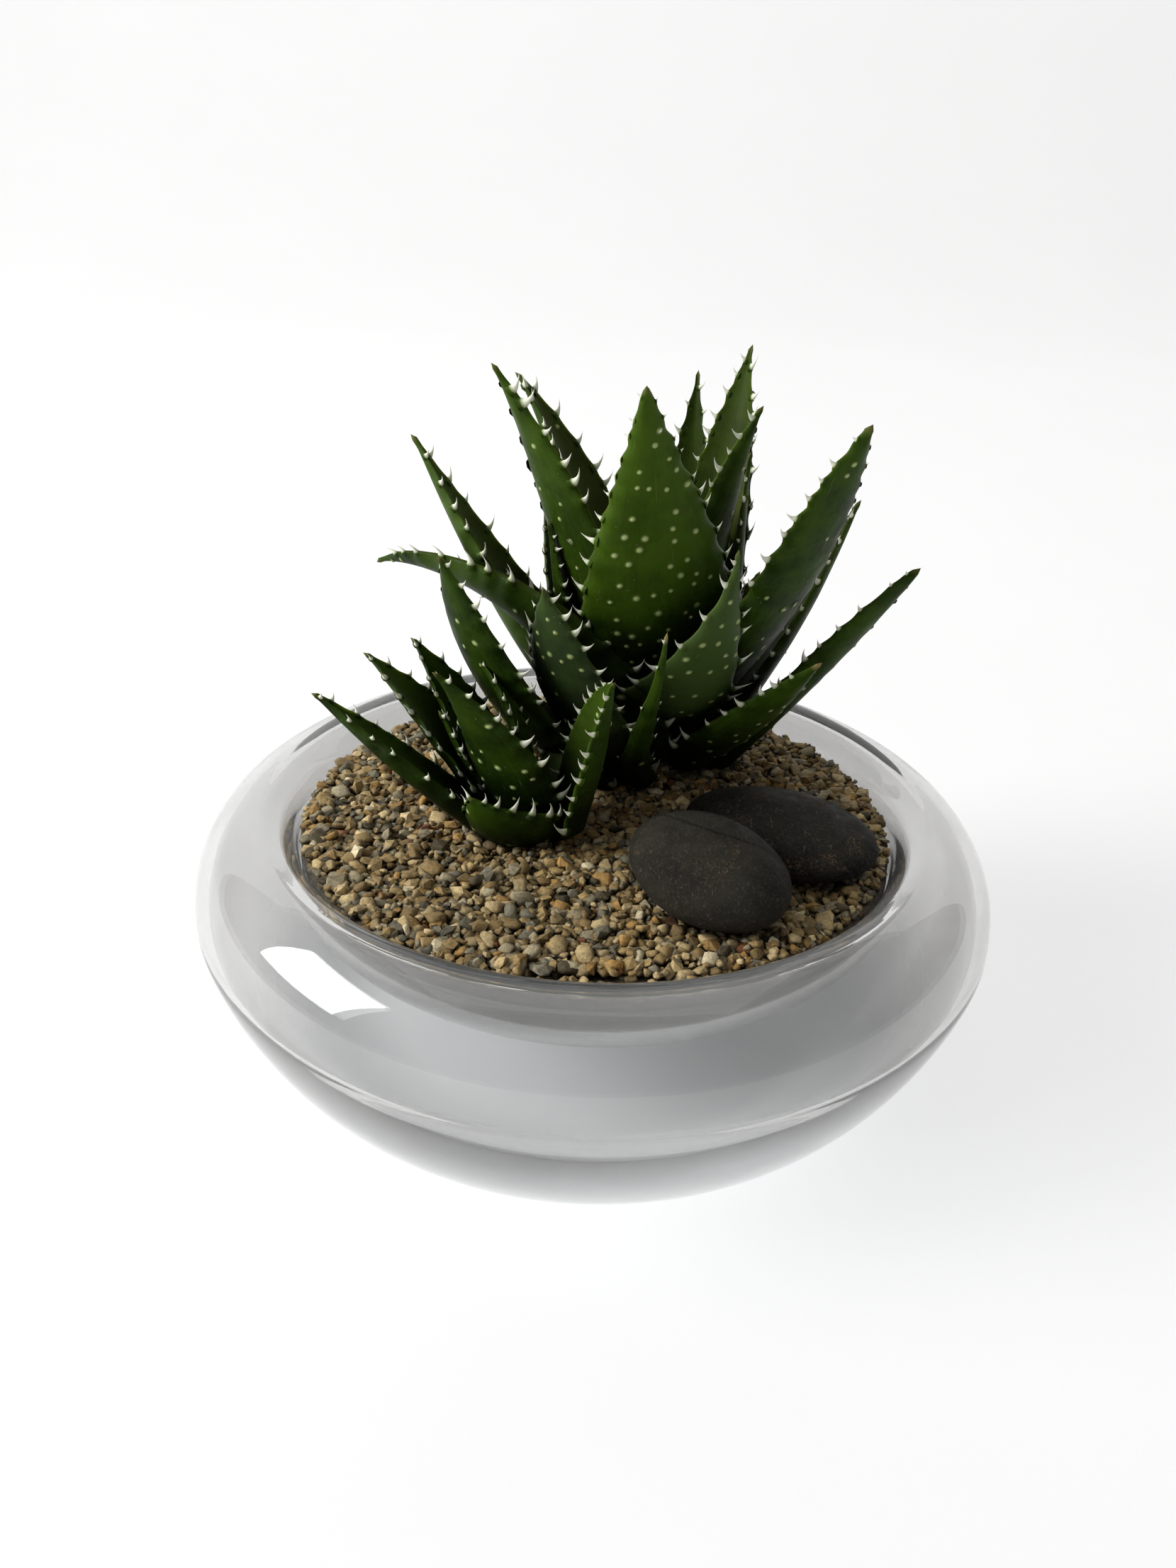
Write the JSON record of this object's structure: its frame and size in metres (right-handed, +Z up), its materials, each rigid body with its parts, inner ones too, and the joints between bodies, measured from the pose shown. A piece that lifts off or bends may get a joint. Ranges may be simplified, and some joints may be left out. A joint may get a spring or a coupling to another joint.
{
  "type": "potted spider aloe",
  "caption": "Toothed spider aloe with a small offset, planted in gravel with two dark pebbles in a low double-walled glass bowl.",
  "frame": {"origin": "middle of the bowl's foot, on the surface that it stands on", "axes": "+Z up along the bowl's axis, the front of the plant towards -Y"},
  "size_m": [0.2, 0.2, 0.1717],
  "materials": {
    "glass": "clear polished",
    "gravel": "matte",
    "substrate": "matte",
    "pebble": "matte",
    "stem": "matte",
    "leaf": "satin",
    "pup_leaf": "satin"
  },
  "bodies": {
    "root": {"glass_bowl": "glass", "gravel": "gravel", "substrate": "substrate", "pebble_front": "pebble", "pebble_back": "pebble", "main_stem": "stem", "pup_stem": "stem", "leaf_01": "leaf", "leaf_02": "leaf", "leaf_03": "leaf", "leaf_04": "leaf", "leaf_05": "leaf", "leaf_06": "leaf", "leaf_07": "leaf", "leaf_08": "leaf", "leaf_09": "leaf", "leaf_10": "leaf", "leaf_11": "leaf", "leaf_12": "leaf", "leaf_13": "leaf", "leaf_14": "leaf", "leaf_15": "leaf", "leaf_16": "leaf", "leaf_17": "leaf", "leaf_18": "leaf", "leaf_19": "leaf", "leaf_20": "leaf", "leaf_21": "leaf", "leaf_22": "leaf", "leaf_23": "leaf", "leaf_24": "leaf", "leaf_25": "leaf", "leaf_26": "leaf", "leaf_27": "leaf", "pup_leaf_01": "pup_leaf", "pup_leaf_02": "pup_leaf", "pup_leaf_03": "pup_leaf", "pup_leaf_04": "pup_leaf", "pup_leaf_05": "pup_leaf", "pup_leaf_06": "pup_leaf", "pup_leaf_07": "pup_leaf", "pup_leaf_08": "pup_leaf", "pup_leaf_09": "pup_leaf"}
  },
  "joints": []
}
